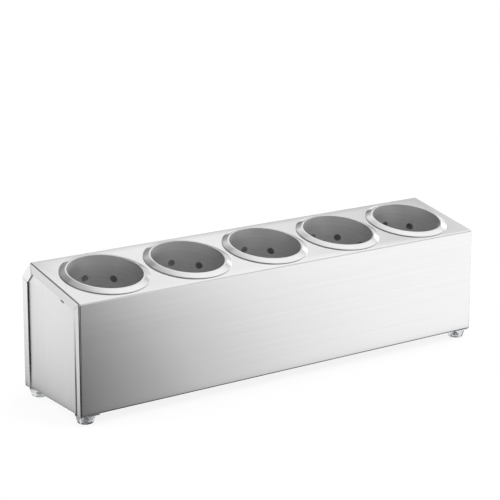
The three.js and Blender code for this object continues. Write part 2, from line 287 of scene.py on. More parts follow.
    def join(self, *others: Workpiece) -> None:
        """Makes other pieces part of this one.

        Args:
            others: The pieces.
        """
        self.hold()
        for other in others:
            other.obj.select_set(True)
        bpy.ops.object.join()

    def line_with(self, inner: Workpiece) -> None:
        """Joins the inner side of a sheet to this outer side, and closes the rim between them.

        Args:
            inner: The inner side.
        """
        with inner.editing():
            bpy.ops.mesh.flip_normals()
        self.join(inner)
        with self.editing("EDGE", lambda edge: edge.is_boundary):
            bpy.ops.mesh.bridge_edge_loops()
            bpy.ops.mesh.select_all(action="SELECT")
            bpy.ops.mesh.normals_make_consistent(inside=False)

    def combine(self, tools: Sequence[Workpiece], operation: str = "DIFFERENCE") -> None:
        """Cuts the piece with tools that don't touch each other, and puts the tools away.

        Args:
            tools: Closed shapes.
            operation: DIFFERENCE to take them out, INTERSECT to keep what they share.
        """
        tool, *rest = tools
        if rest:
            tool.join(*rest)
        self.hold()
        cutting = self.obj.modifiers.new("cutting", "BOOLEAN")
        cutting.operation, cutting.solver, cutting.object = operation, "EXACT", tool.obj
        bpy.ops.object.modifier_apply(modifier=cutting.name)
        tool.discard()

    def discard(self) -> None:
        """Takes the piece off the bench."""
        mesh = self.obj.data
        bpy.data.objects.remove(self.obj)
        bpy.data.meshes.remove(mesh)

    def keep_place(self) -> None:
        """Stores each point's place on the upright axis, for a finish that follows the turning."""
        mesh = self.obj.data
        place = mesh.attributes.new(PLACE_ATTRIBUTE, "FLOAT_VECTOR", "POINT")
        for point, vertex in zip(place.data, mesh.vertices):
            point.vector = vertex.co

    def put(self, where: Matrix) -> None:
        """Moves the piece, and keeps its place in its mesh.

        Args:
            where: The move.
        """
        self.hold()
        self.obj.matrix_world = where
        bpy.ops.object.transform_apply(location=True, rotation=True, scale=True)

    def fit(self, body: str, nodes: Sequence[str], finish: str,
            material: bpy.types.Material) -> None:
        """Dresses the finished piece and puts it in the rack.

        Args:
            body: The body that it moves with.
            nodes: The nodes that it stands for.
            finish: The record's slot of its finish; not used.
            material: Its material.
        """
        self.hold()
        bpy.ops.object.shade_smooth_by_angle(angle=SHARP)
        self.obj.data.materials.clear()
        self.obj.data.materials.append(material)
        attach(self.obj, body)
        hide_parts(*nodes)
        low, high = (Vector(self.obj.bound_box[i]) for i in (0, 6))
        size = " x ".join(f"{1000 * side:.1f}" for side in high - low)
        log.info("%s: %d faces, %s mm", self.obj.name, len(self.obj.data.polygons), size)


class Signal:
    """A shader socket that can be used in sums, each of which adds its own node."""

    def __init__(self, bench: NodeBench, socket: bpy.types.NodeSocket) -> None:
        """Wraps an output socket."""
        self.bench = bench
        self.socket = socket

    def _sum(self, operation: str, left: Value, right: Value) -> Signal:
        """Adds one Math node and gives its result."""
        node = self.bench.add("ShaderNodeMath", {"operation": operation}, {0: left, 1: right})
        return Signal(self.bench, node.outputs[0])

    def __add__(self, other: Value) -> Signal:
        """Sum."""
        return self._sum("ADD", self, other)

    __radd__ = __add__

    def __sub__(self, other: Value) -> Signal:
        """Difference."""
        return self._sum("SUBTRACT", self, other)

    def __rsub__(self, other: Value) -> Signal:
        """Difference from a number."""
        return self._sum("SUBTRACT", other, self)

    def __mul__(self, other: Value) -> Signal:
        """Product."""
        return self._sum("MULTIPLY", self, other)

    __rmul__ = __mul__

    def above(self, level: float) -> Signal:
        """One where the value is over a level, zero elsewhere."""
        return self._sum("GREATER_THAN", self, level)

    def size(self) -> Signal:
        """The value without its sign."""
        return self._sum("ABSOLUTE", self, 0.0)

    def most(self, other: Value) -> Signal:
        """The larger of two values."""
        return self._sum("MAXIMUM", self, other)


Value = Union[float, Signal, bpy.types.NodeSocket, Sequence[float]]


class NodeBench:
    """Lays out the nodes of one material or world."""

    def __init__(self, owner: bpy.types.Material | bpy.types.World) -> None:
        """Starts from an empty tree.

        Args:
            owner: The material or world.
        """
        self.owner = owner
        owner.use_nodes = True
        owner.node_tree.nodes.clear()

    def add(self, kind: str, settings: dict[str, object] | None = None,
            sockets: dict[str | int, Value] | None = None) -> bpy.types.Node:
        """Adds one node.

        Args:
            kind: The node's type.
            settings: Its properties; stops gives a ramp's places and colours.
            sockets: Values or links for its inputs, by name or number.

        Returns:
            The node.
        """
        tree = self.owner.node_tree
        node = tree.nodes.new(kind)
        for key, value in (settings or {}).items():
            if key == "stops":
                ramp = node.color_ramp.elements
                while len(ramp) < len(value):
                    ramp.new(0.5)
                for stop, (place, colour) in zip(ramp, value):
                    stop.position, stop.color = place, colour
            else:
                setattr(node, key, value)
        for key, value in (sockets or {}).items():
            if isinstance(value, Signal):
                value = value.socket
            if isinstance(value, bpy.types.NodeSocket):
                tree.links.new(value, node.inputs[key])
            else:
                node.inputs[key].default_value = value
        return node

    def signal(self, kind: str, settings: dict[str, object] | None = None,
               sockets: dict[str | int, Value] | None = None, output: str | int = 0) -> Signal:
        """Adds one node and gives one of its outputs, by name or number, for use in sums."""
        return Signal(self, self.add(kind, settings, sockets).outputs[output])

    def finish(self, shader: bpy.types.Node,
               kind: str = "Material") -> bpy.types.Material | bpy.types.World:
        """Ends the tree with a shader, and gives the material or world."""
        self.add(f"ShaderNodeOutput{kind}", None, {"Surface": shader.outputs[0]})
        return self.owner

    def place(self, scale: Triple = (1, 1, 1), attribute: str = "") -> Signal:
        """Coordinates on the piece, stretched for a pattern.

        Args:
            scale: Stretch along each axis.
            attribute: The piece's stored coordinates to read, or none for its own place.

        Returns:
            The coordinates.
        """
        if attribute:
            source = self.signal(
                "ShaderNodeAttribute", {"attribute_name": attribute}, output="Vector")
        else:
            source = self.signal("ShaderNodeTexCoord", output="Object")
        return self.signal("ShaderNodeMapping", None, {"Vector": source, "Scale": scale})

    def axes(self, attribute: str = "") -> list[Signal]:
        """The three coordinates of a place on the piece, unstretched."""
        parts = self.add("ShaderNodeSeparateXYZ", None, {0: self.place((1, 1, 1), attribute)})
        return [Signal(self, socket) for socket in parts.outputs]

    def noise(self, where: Signal, scale: float, detail: float = 2.0,
              roughness: float = 0.5) -> Signal:
        """A soft random pattern between zero and one: its fineness, and its finer layers."""
        return self.signal("ShaderNodeTexNoise", {"noise_dimensions": "3D"}, {
            "Vector": where, "Scale": scale, "Detail": detail, "Roughness": roughness})

    def tint(self, amount: Value, dark: Colour, light: Colour) -> Signal:
        """A colour between two, by an amount."""
        return self.signal("ShaderNodeMix", {"data_type": "RGBA"}, {
            0: amount, 6: (*dark, 1), 7: (*light, 1)}, output=2)

    def bump(self, height: Value, depth: float, strength: float) -> Signal:
        """A relief for the Normal socket: a pattern, its depth in metres and its strength."""
        return self.signal("ShaderNodeBump", None, {
            "Height": height, "Distance": depth, "Strength": strength}, output="Normal")

    def surface(self, sockets: dict[str, Value]) -> bpy.types.Material:
        """Ends the tree with one Principled shader, and gives the material."""
        return self.finish(
            self.add("ShaderNodeBsdfPrincipled", {"distribution": "MULTI_GGX"}, sockets))


class Grain(Enum):
    """Which way a steel surface was brushed."""

    ALONG_RACK = "along the rack"
    UPRIGHT = "upright"
    TURNED = "turned on a lathe"


STREAKS = {  # stretch of the fine lines, the broader bands and the cloudiness
    Grain.ALONG_RACK: ((8, 1500, 1500), (3, 270, 270), (4, 9, 9)),
    Grain.UPRIGHT: ((1500, 1500, 6), (260, 260, 2), (9, 9, 5)),
    Grain.TURNED: ((8, 8, 2600), (2, 2, 240), (16, 16, 16)),
}
STREAK_LAYERS = ((3.0, 0.6), (2.0, 0.5), (2.0, 0.5))  # finer layers of each, and their strength


@dataclass(frozen=True)
class BrushedSteel:
    """Stainless steel with a fine directional brushing."""

    name: str
    grain: Grain
    light: Colour  # on the crests of the grain
    dark: Colour  # in its furrows
    roughness: float = 0.30
    spread: float = 0.10  # how far the roughness varies
    stretch: float = 0.0  # share of the highlight that the grain pulls out across itself
    turn: float = 0.0  # direction of that pull, in turns
    flange_shade_share: float = 1.0  # brightness left on the front and sloping flanges at the ends, a painted shade
    edge_shade_share: float = 1.0  # brightness left along the cut edge of the front flange, a painted shade line
    rim_roughness: float | None = None  # from the rim's underside up, or none for the same
    fine_share: float = 0.6  # of the fine lines in the grain, with the bands for the rest
    grain_share: float = 0.75  # of the grain in the colour, with the clouds for the rest
    cloud_share: float = 0.5  # of the clouds in the roughness, beside the grain
    contrast: float = 2.4  # of the colour's pattern, about its middle
    low_shade_share: float = 0.4  # of the flanges' painted shade at the floor, growing upwards
    relief: Point = (0.00002, 0.35)  # depth of the fine lines, and how much of it shows

    def flange_painted_shade(self, bench: NodeBench) -> Signal:
        """Painted shade on the end flanges, darker towards the floor, with a painted shade line
        beside the front flanges' cut edges.

        Args:
            bench: Where the nodes go.

        Returns:
            The share of brightness left at each point.
        """
        x, y, z = bench.axes()
        flange = x.size().above(FLANGE_FACE) * (1 - y.above(FLANGE_REAR))
        low, high = FLANGE_EDGE
        full, gone = EDGE_SHADE_LEVELS
        fade = 1 - ((z - full) * (1 / (gone - full))).most(0.0)
        # painted shade line beside the front flange's cut edge, fading upwards
        edge = flange * y.above(low) * (1 - y.above(high)) * fade.most(0.0)
        growth = (1 - self.low_shade_share) / gone
        painted_shade = (1 - self.flange_shade_share) * flange * (self.low_shade_share + z * growth)
        return 1 - painted_shade - (self.flange_shade_share - self.edge_shade_share) * edge

    def material(self) -> bpy.types.Material:
        """The finish as a material.

        Returns:
            The material.
        """
        bench = NodeBench(bpy.data.materials.new(self.name))
        attribute = PLACE_ATTRIBUTE if self.grain is Grain.TURNED else ""
        fine, band, cloud = (
            bench.noise(bench.place(stretch, attribute), 1.0, *layers)
            for stretch, layers in zip(STREAKS[self.grain], STREAK_LAYERS))
        grain = self.fine_share * fine + (1 - self.fine_share) * band
        clouds = self.cloud_share * self.spread * (cloud - 0.5)
        rough = self.roughness + self.spread * (grain - 0.5) + clouds
        mixed = grain * self.grain_share + cloud * (1 - self.grain_share)
        colour = bench.tint(
            mixed * self.contrast - (self.contrast - 1) / 2, self.dark, self.light)
        # painted shade on the end flanges scales the colour
        if self.flange_shade_share < 1:
            colour = bench.signal("ShaderNodeVectorMath", {"operation": "SCALE"}, {
                0: colour, "Scale": self.flange_painted_shade(bench)})
        if self.rim_roughness is not None:
            radius = bench.signal("ShaderNodeVectorMath", {"operation": "LENGTH"}, {
                0: bench.place((1, 1, 0), PLACE_ATTRIBUTE)}, output="Value")
            rim = radius.above(RIM_RADIUS) * bench.axes(PLACE_ATTRIBUTE)[2].above(0)
            rough = rough + (self.rim_roughness - self.roughness) * rim
        return bench.surface({
            "Base Color": colour,
            "Metallic": 1.0,
            "Roughness": rough,
            "Anisotropic": self.stretch,
            "Anisotropic Rotation": self.turn,
            "Normal": bench.bump(fine, *self.relief),
        })


@dataclass(frozen=True)
class ClearRubber:
    """Clear soft rubber with a smooth moulded skin."""

    name: str = "clear_rubber"
    tint: Colour = (0.80, 0.81, 0.82)  # of what shines through
    haze: float = 0.9  # share of that colour in the hazy parts
    clouds: float = 120.0  # fineness of the haze
    skin: Point = (420.0, 3.0)  # fineness and finer layers of the moulded skin
    relief: Point = (0.00008, 0.3)  # depth of that skin, and how much of it shows
    roughness: float = 0.08
    spread: float = 0.08  # how much rougher the haze is
    ior: float = 1.44

    def material(self) -> bpy.types.Material:
        """The finish as a material.

        Returns:
            The material.
        """
        bench = NodeBench(bpy.data.materials.new(self.name))
        skin = bench.noise(bench.place(), *self.skin)
        cloud = bench.noise(bench.place(), self.clouds)
        hazy = tuple(self.haze * c for c in self.tint)
        return bench.surface({
            "Base Color": bench.tint(cloud, hazy, self.tint),
            "Roughness": self.roughness + self.spread * cloud,
            "IOR": self.ior,
            "Transmission Weight": 1.0,
            "Normal": bench.bump(skin, *self.relief),
        })


@dataclass(frozen=True)
class ZincPlate:
    """Plain zinc plating on small fixings, slightly dull and mottled."""

    name: str = "zinc_plate"
    light: Colour = (0.62, 0.63, 0.65)  # of the bright crystals
    dark: Colour = (0.38, 0.385, 0.40)  # of the dull ones
    crystals: Triple = (900.0, 4.0, 0.6)  # fineness, finer layers and their strength
    patches: float = 240.0  # fineness of the broader patches
    share: float = 0.5  # of the crystals in the colour, with the patches for the rest
    relief: Point = (0.00004, 0.3)  # depth of the crystals, and how much of it shows
    roughness: float = 0.34
    spread: float = 0.2  # how far the roughness varies

    def material(self) -> bpy.types.Material:
        """The finish as a material.

        Returns:
            The material.
        """
        bench = NodeBench(bpy.data.materials.new(self.name))
        mottle = bench.noise(bench.place(), *self.crystals)
        mixed = self.share * mottle + (1 - self.share) * bench.noise(bench.place(), self.patches)
        return bench.surface({
            "Base Color": bench.tint(mixed, self.dark, self.light),
            "Metallic": 1.0,
            "Roughness": self.roughness + self.spread * (mottle - 0.5),
            "Normal": bench.bump(mottle, *self.relief),
        })


@dataclass(frozen=True)
class EndView:
    """The stand seen along the rack: front, sloping top, rear chamfer and rear."""

    depth: float = 0.143013  # front face to rear face
    bottom: float = 0.0125  # level of the lower edge
    front: float = 0.153473  # level of the front fold
    slope: float = radians(11.07)  # of the top, falling to the front
    ridge: float = 0.0224  # how far the ridge is in from the rear face
    rear: float = 0.15447  # level of the rear fold

    def top_at(self, y: float) -> float:
        """Level of the sloping top's plane at a place from front to rear."""
        return self.front + (y + self.depth / 2) * tan(self.slope)

    def walls(self, inset: float) -> list[tuple[Vector, float]]:
        """The four walls: front, slope, chamfer and rear.

        Args:
            inset: How far inside the outer faces.

        Returns:
            The outward normal of each, as depth and height, and its distance from the origin.
        """
        half = self.depth / 2
        ridge = Vector((half - self.ridge, self.top_at(half - self.ridge)))
        fall = Vector((half, self.rear)) - ridge
        chamfer = Vector((-fall.y, fall.x)).normalized()
        slope = Vector((-sin(self.slope), cos(self.slope)))
        front = Vector((-half, self.front))
        return [
            (Vector((-1, 0)), half - inset),
            (slope, slope.dot(front) - inset),
            (chamfer, chamfer.dot(ridge) - inset),
            (Vector((1, 0)), half - inset),
        ]

    def folds(self, inset: float) -> list[tuple[Vector, float]]:
        """Depth and height of the front fold, ridge and rear fold, each with its turn."""
        walls = self.walls(inset)
        return [(Matrix((n0, n1)).inverted() @ Vector((d0, d1)), acos(n0.dot(n1)))
                for (n0, d0), (n1, d1) in zip(walls, walls[1:])]

    def solid(self, name: str, inset: float, ends: Sequence[float], floor: float) -> Workpiece:
        """A block with this end view.

        Args:
            name: Name of the piece.
            inset: How far inside the outer faces.
            ends: Its two ends, in either order.
            floor: Level of its underside.

        Returns:
            The closed block, with sharp folds.
        """
        half = self.depth / 2 - inset
        piece = Workpiece.block(name, Vector((min(ends), -half, floor)),
                                Vector((max(ends), half, self.top_at(self.depth))))
        for normal, distance in self.walls(inset)[1:3]:
            piece.trim(Vector((0, *(normal * distance))), Vector((0, *normal)))
        return piece

    def skin(self, name: str, inset: float, ends: Sequence[float], floor: float,
             fold: float, end_fold: float, rounded_ends: Sequence[float]) -> Workpiece:
        """One side of a folded sheet: front, slope, chamfer, rear and ends, open underneath.

        Args:
            name: Name of the piece.
            inset: How far inside the outer faces.
            ends: Its two ends, in either order.
            floor: Level of the open underside.
            fold: Radius of the three long folds.
            end_fold: Radius of the folds round the ends.
            rounded_ends: The ends that have such folds.

        Returns:
            The open skin.
        """
        spare = 10 * fold  # of wall below the floor, so that the roundings run past it
        piece = self.solid(name, inset, ends, floor - spare)
        for place, turn in self.folds(inset):
            piece.round_edges(
                lambda edge: all(
                    near(v.co.y, place.x) and near(v.co.z, place.y) for v in edge.verts),
                fold * tan(turn / 2), FOLD_STEPS)
        for end in rounded_ends:
            piece.round_edges(
                lambda edge: all(near(v.co.x, end) for v in edge.verts)
                and any(v.co.z > floor for v in edge.verts),
                end_fold, END_FOLD_STEPS)
        piece.trim(Vector((0, 0, floor)), -UP, closed=False)
        return piece


def straight_slot(start: Vector, finish: Vector, width: float, x: float) -> Workpiece:
    """A tool for a straight slot through a sheet that lies across the rack.

    Args:
        start: Depth and height of one end of the slot.
        finish: Depth and height of its other end.
        width: Width of the slot.
        x: Where the sheet lies along the rack.

    Returns:
        The tool.
    """
    line = finish - start
    reach = Vector((SLOT_REACH, line.length / 2, width / 2))
    tool = Workpiece.block("slot", -reach, reach)
    turn = Matrix.Rotation(-Vector((1, 0)).angle_signed(line), 4, "X")
    tool.put(Matrix.Translation((x, *((start + finish) / 2))) @ turn)
    return tool


def drill(places: Sequence[Vector], radius: float, low: Vector, high: Vector,
          sides: int = HOLE_SIDES) -> list[Workpiece]:
    """Tools for round holes, each from one end to the other of a line through its place."""
    return [Workpiece.rod("hole", radius, place + low, place + high, sides) for place in places]


@dataclass
class FoldedStand:
    """The stand: one folded sheet with seats in its sloping top and turned-in edges all round."""

    view: EndView
    length: float = 0.620  # left end to right end
    sheet: float = 0.001  # thickness of the steel
    fold: float = 0.0026  # outside radius of the long folds
    end_fold: float = 0.002  # outside radius of the folds at the ends and the bottom
    bottom_return: float = 0.026  # width of the flanges turned in along the bottom
    return_end: float = 0.3068  # where these flanges stop, from the middle
    bend_relief: float = 0.0005  # width of the slot beside the end of each flange
    end_flange: float = 0.013  # width of the flanges turned in round each end
    mitre_gap: float = 0.0005  # width of the slits between those flanges
    relief: float = 0.0009  # radius of the hole at the inner end of each slit
    seat_radius: float = 0.049
    screw_hole: float = 0.0023  # radius

    def sheet_metal(self) -> Workpiece:
        """Folds the sheet: outer and inner skin, joined at a rim that is then turned in below.

        Returns:
            The sheet, its ends still closed.
        """
        end, straight = self.length / 2, self.view.bottom + self.end_fold
        piece, inner = (
            self.view.skin(name, inset, (-end + inset, end - inset), straight, self.fold - inset,
                           self.end_fold - inset, (-end + inset, end - inset))
            for name, inset in (("body_shell_dressed", 0.0), ("shell_inside", self.sheet)))
        piece.line_with(inner)
        beyond = self.return_end + self.bend_relief
        for side in (-1, 1):
            for place in (self.return_end, beyond):
                piece.score(ALONG * side * place, ALONG)
        half = self.view.depth / 2
        piece.draw_out(
            lambda c, n: n.z < -FACING and near(c.z, straight) and abs(c.x) > beyond,
            -UP * self.end_fold)
        for side in (-1, 1):
            piece.turn_in(
                lambda c, n: n.z < -FACING and near(c.z, straight) and abs(c.x) < self.return_end
                and c.y * side > half - 2 * self.sheet,
                Vector((0, side * (half - self.end_fold), straight)), ALONG * -side,
                self.bottom_return - self.end_fold)
        return piece

    def end_windows(self) -> list[Workpiece]:
        """Tools that open both ends and leave the flanges standing."""
        ends = self.length / 2 + self.sheet, self.length / 2 - 2 * self.sheet
        return [self.view.solid("window", self.end_flange, [side * end for end in ends],
                                self.view.bottom - self.sheet) for side in (-1, 1)]

    def mitres(self) -> tuple[list[Workpiece], list[Workpiece]]:
        """Tools for the corners between the end flanges.

        Returns:
            The slits, and the reliefs at their inner ends.
        """
        slits, reliefs = [], []
        corners, hearts = ([place for place, _ in self.view.folds(inset)]
                           for inset in (0, self.end_flange))
        reach = ALONG * 2 * self.sheet
        for side in (-1, 1):
            x = side * self.length / 2
            for corner, heart in zip(corners, hearts):
                inward = (heart - corner).normalized()
                slits.append(straight_slot(
                    corner + inward * 2 * self.end_fold, heart, self.mitre_gap, x))
                reliefs += drill([Vector((x, *heart))], self.relief, -reach, reach)
        return slits, reliefs

    def build(self, seats: Sequence[Vector], feet: Sequence[Vector]) -> Workpiece:
        """Makes the stand.

        Args:
            seats: Middle of each seat, on the sloping top.
            feet: Middle of each foot.

        Returns:
            The finished sheet.
        """
        piece = self.sheet_metal()
        piece.combine(self.end_windows())
        for tools in self.mitres():
            piece.combine(tools)
        through = Vector((0, -sin(self.view.slope), cos(self.view.slope))) * 3 * self.sheet
        piece.combine(drill(seats, self.seat_radius, -through, through, SEAT_SIDES))
        low, high = self.view.bottom - self.sheet, self.view.bottom + 2 * self.sheet
        piece.combine(drill(feet, self.screw_hole, UP * low, UP * high))
        return piece


@dataclass
class EndPanel:
    """The plate that closes one end of the stand, with a turned-in rim and a flange below."""

    view: EndView
    side: int  # -1 for the left end, 1 for the right
    face: float = 0.3082  # outside of the plate, from the middle of the rack
    sheet: float = 0.001  # thickness of the steel
    inset: float = 0.0011  # the rim's distance inside the stand's outer faces
    rim: float = 0.011  # depth of the turned-in rim
    fold: float = 0.0026  # outside radius of the stand's long folds
    edge_fold: float = 0.0013  # outside radius of the fold between plate and rim
    rim_floor: float = 0.0139  # level at which the rim stops
    flange_fold: float = 0.0018  # outside radius of the fold under the plate
    flange_end: float = 0.284  # where the bottom flange stops, from the middle of the rack
    flange_level: float = 0.0114  # level of its underside
    flange_margin: float = 0.0001  # its distance inside the stand's faces
    screw_hole: float = 0.0023  # radius
    slot: Point = (0.008, 0.0018)  # length and width of the slot just under the sloping flange
    slot_inset: float = 0.0159  # its distance inside the stand's sloping top
    slot_share: float = 0.28  # its place along that flange, from the front

    def half_skin(self, name: str, extra: float) -> Workpiece:
        """One side of the panel's sheet.

        Args:
            name: Name of the piece.
            extra: Distance inside the outer side.

        Returns:
            The skin, open underneath and towards the middle of the rack.
        """
        outside, inside = self.side * (self.face - extra), self.side * (self.face - self.rim)
        skin = self.view.skin(
            name, self.inset + extra, (outside, inside), self.rim_floor,
            self.fold - self.inset - extra, max(self.edge_fold - extra, self.sheet / 4), (outside,))
        with skin.editing("FACE", lambda c, n: near(c.x, inside)):
            bpy.ops.mesh.delete(type="FACE")
        return skin

    def build(self, name: str, feet: Sequence[Vector]) -> Workpiece:
        """Makes the panel.

        Args:
            name: Name of the piece.
            feet: Middle of each foot under it.

        Returns:
            The finished panel.
        """
        piece = self.half_skin(name, 0.0)
        piece.line_with(self.half_skin("panel_inside", self.sheet))
        side, back, level = self.side, self.face - self.sheet, self.flange_level
        bend = self.face - self.flange_fold
        straight = level + self.flange_fold
        wide = self.view.depth / 2 - self.flange_margin
        narrow = self.view.depth / 2 - self.inset - self.edge_fold
        for end in (-1, 1):
            piece.score(Vector((0, end * narrow, 0)), Vector((0, 1, 0)))
        piece.draw_out(
            lambda c, n: n.z < -FACING and near(c.z, self.rim_floor) and abs(c.x) > back
            and abs(c.y) < narrow,
            UP * (straight - self.rim_floor))
        piece.turn_in(
            lambda c, n: n.z < -FACING and near(c.z, straight),
            Vector((side * bend, 0, straight)), Vector((0, side, 0)), bend - self.flange_end)
        for end in (-1, 1):
            piece.draw_out(
                lambda c, n: n.y * end > FACING and c.z < level + self.sheet and abs(c.x) < bend,
                Vector((0, end * (wide - narrow), 0)))
        piece.combine(drill(
            feet, self.screw_hole, UP * (level - self.sheet), UP * (level + 2 * self.sheet)))
        front, ridge, _ = (place for place, _ in self.view.folds(self.slot_inset))
        length, width = self.slot
        middle = front.lerp(ridge, self.slot_share)
        along = (ridge - front).normalized() * length / 2
        piece.combine([straight_slot(middle - along, middle + along, width, side * self.face)])
        return piece


@dataclass
class CutleryCylinder:
    """A drawn cup with a sloping rim, rows of holes in its wall and holes in its base.

    Heights count from the sloping top that it stands in.
    """

    bore: float = 0.047  # inside radius
    wall: float = 0.0008  # thickness of the steel
    depth: float = 0.1327  # from the top of the stand to the underside
    base_fold: float = 0.005  # outside radius between wall and base
    rim_radius: float = 0.0564
    rest: float = 0.0003  # level of the rim's underside
    rim_edge: float = 0.0009  # height of the rim's outer edge
    edge_round: float = 0.0004  # radius on that edge
    lip_level: float = 0.0043
    lip_width: float = 0.0026  # of the flat ring round the mouth
    lip_round: float = 0.0009  # radius of that ring's inner edge
    lip_slope: Stops = ((0.0, 0.5), (0.3, 0.36))  # in from its outer edge and down, in walls
    hole: float = 0.00475  # radius of a hole
    ring: float = 1.4  # where the rings of edges over and under a row lie, in radii of a hole
    first_row: float = 0.027  # depth of the first row of holes
    row_pitch: float = 0.026
    rows: int = 4
    per_row: int = 8
    base_circle: float = 0.027  # radius of the ring of holes in the base
    base_holes: int = 6
    steps: int = 144  # in one turn

    def section(self) -> list[Point]:
        """The cup's section.

        Returns:
            Its points, from the middle of the underside round to the middle of the floor.
        """
        outside, low = self.bore + self.wall, -self.depth
        levels = [-self.first_row - row * self.row_pitch + way * self.ring * self.hole
                  for row in range(self.rows) for way in (1, -1)]
        edge, top = self.edge_round, self.rest + self.rim_edge
        lip = (self.bore + self.lip_round, self.lip_level - self.lip_round)
        crest = self.bore + self.lip_width
        heel = (outside - self.base_fold, low + self.base_fold)
        return [
            (0.0, low),
            *arc(heel, self.base_fold, -90, 0, 8),
            *((outside, z) for z in reversed(levels)),
            (outside, self.lip_level - self.wall),
            *arc((self.rim_radius - edge, self.rest + edge), edge, -100, 0, 4),
            *arc((self.rim_radius - edge, top - edge), edge, 0, 70, 4),
            *((crest - inwards * self.wall, self.lip_level - down * self.wall)
              for inwards, down in self.lip_slope),
            *arc(lip, self.lip_round, 90, 180, 6),
            *((self.bore, z) for z in levels),
            *arc(heel, self.base_fold - self.wall, 0, -90, 8),
            (0.0, low + self.wall),
        ]

    def hole_tools(self) -> list[Workpiece]:
        """Tools for the holes in wall and base.

        Returns:
            The wall's, each row half a pitch round from the next, then the base's.
        """
        tools = []
        for row in range(self.rows):
            level = UP * (-self.first_row - row * self.row_pitch)
            for i in range(self.per_row):
                turn = 2 * pi * (i + (row % 2) / 2) / self.per_row
                out = Vector((cos(turn), sin(turn), 0))
                tools += drill([level], self.hole, out * (self.bore - 2 * self.wall),
                               out * (self.bore + 3 * self.wall))
        ring = (2 * pi * i / self.base_holes for i in range(self.base_holes))
        places = [Vector()] + [Vector((cos(t), sin(t), 0)) * self.base_circle for t in ring]
        return tools + drill(places, self.hole, UP * (-self.depth - self.wall),
                             UP * (-self.depth + 2 * self.wall))

    def build(self) -> Workpiece:
        """Makes one cup.

        Returns:
            The cup, standing upright on its own axis.
        """
        piece = Workpiece.turned("cup", self.section(), self.steps)
        piece.combine(self.hole_tools())
        piece.keep_place()
        return piece


@dataclass
class FootSet:
    """A clear foot with its screw, washer and nut, made once about its own axis."""

    height: float = 0.0114
    top: float = 0.0128  # radius at the top
    base: float = 0.0099  # radius at the floor
    floor_round: float = 0.0022  # radius of the lower edge
    top_round: float = 0.0006  # radius of the upper edge
    slack: float = 0.00003  # air between two pieces that touch
    pocket: Point = (0.0052, 0.007)  # radius and height of the pocket for the screw's head
    bore: float = 0.0023  # radius of the hole for the screw
    shank: float = 0.002  # radius of the screw
    thread: Point = (0.0007, 0.0003)  # pitch and depth
    head: Point = (0.0039, 0.0026)  # radius and height
    tip: float = 0.0182  # level of the screw's tip
    drive: Point = (0.001, 0.0014)  # width and depth of the cross in the head
    washer: Point = (0.0047, 0.0008)  # radius and thickness
    washer_round: float = 0.3  # radius on its edge, in thicknesses
    flats: float = 0.007  # width of the nut over its flats
    nut_level: float = 0.0135  # level of the nut's underside
    nut_height: float = 0.0032
    nut_face: float = 0.96  # radius of its round end faces, in half widths
    nut_cone: float = 0.12  # height of its turned-off corners, in heights
    foot_steps: int = 64  # steps in one turn
    washer_steps: int = 48
    screw_steps: int = 32

    def foot(self) -> Workpiece:
        """The tapered foot.

        Returns:
            The foot, with a pocket from below and a hole for the screw.
        """
        radius, roof = self.pocket
        small, top = self.top_round, self.height - self.slack
        section = [
            *arc((radius + small, small), small, 180, 270, 3),
            *arc((self.base - self.floor_round, self.floor_round), self.floor_round, -90, -10, 6),
            *arc((self.top - small, top - small), small, -10, 90, 4),
            (self.bore, top),
            (self.bore, roof),
            (radius, roof),
        ]
        return Workpiece.turned("foot", [*section, section[0]], self.foot_steps)

    def washer_ring(self) -> Workpiece:
        """The washer.

        Returns:
            The washer, pressed against the roof of the pocket.
        """
        radius, thickness = self.washer
        top, edge = self.pocket[1] - self.slack, self.washer_round * thickness
        low = self.pocket[1] - thickness
        section = [
            (self.bore, low),
            *arc((radius - edge, low + edge), edge, -90, 0, 3),
            *arc((radius - edge, top - edge), edge, 0, 90, 3),
            (self.bore, top),
        ]
        return Workpiece.turned("washer", [*section, section[0]], self.washer_steps)

    def screw(self) -> Workpiece:
        """The screw.

        Returns:
            The screw, head down, with a domed head, a cross drive and a thread.
        """
        radius, head = self.head
        pitch, cut = self.thread
        seat = self.pocket[1] - self.washer[1] - self.slack
        low = seat - head
        dome = head / 2
        turns = int((self.tip - seat - 2 * pitch) / pitch)
        thread = [
            (r, seat + pitch * (i + share))
            for i in range(1, turns + 1) for share, r in ((0, self.shank), (0.5, self.shank - cut))]
        piece = Workpiece.turned("screw", [
            (0.0, low),
            *arc((radius - dome, low + dome), dome, -90, 0, 6),
            (radius, seat),
            (self.shank, seat),
            *thread,
            (self.shank, self.tip - self.shank / 3),
            (self.shank * 2 / 3, self.tip),
            (0.0, self.tip),
        ], self.screw_steps)
        width, depth = self.drive
        arm = radius - dome
        for x, y in ((arm, width / 2), (width / 2, arm)):
            piece.combine([Workpiece.block(
                "drive", Vector((-x, -y, low - width)), Vector((x, y, low + depth)))])
        return piece

    def nut(self) -> Workpiece:
        """The six-sided nut.

        Returns:
            The nut, its corners turned off at both ends.
        """
        corner = self.flats / sqrt(3)
        low, high = self.nut_level + self.slack, self.nut_level + self.nut_height
        piece = Workpiece.rod("nut", corner, UP * low, UP * high, 6)
        inner, cone = self.flats / 2 * self.nut_face, self.nut_cone * self.nut_height
        outer = corner * 1.01  # clear of the corners
        barrel = Workpiece.turned("barrel", [
            (0.0, low), (inner, low), (outer, low + cone), (outer, high - cone),
            (inner, high), (0.0, high)], self.washer_steps)
        piece.combine([barrel], "INTERSECT")
        over = self.slack * 10  # how far the tool stands out at each end
        piece.combine(drill(
            [Vector()], self.bore, UP * (low - over), UP * (high + over), self.screw_steps))
        return piece


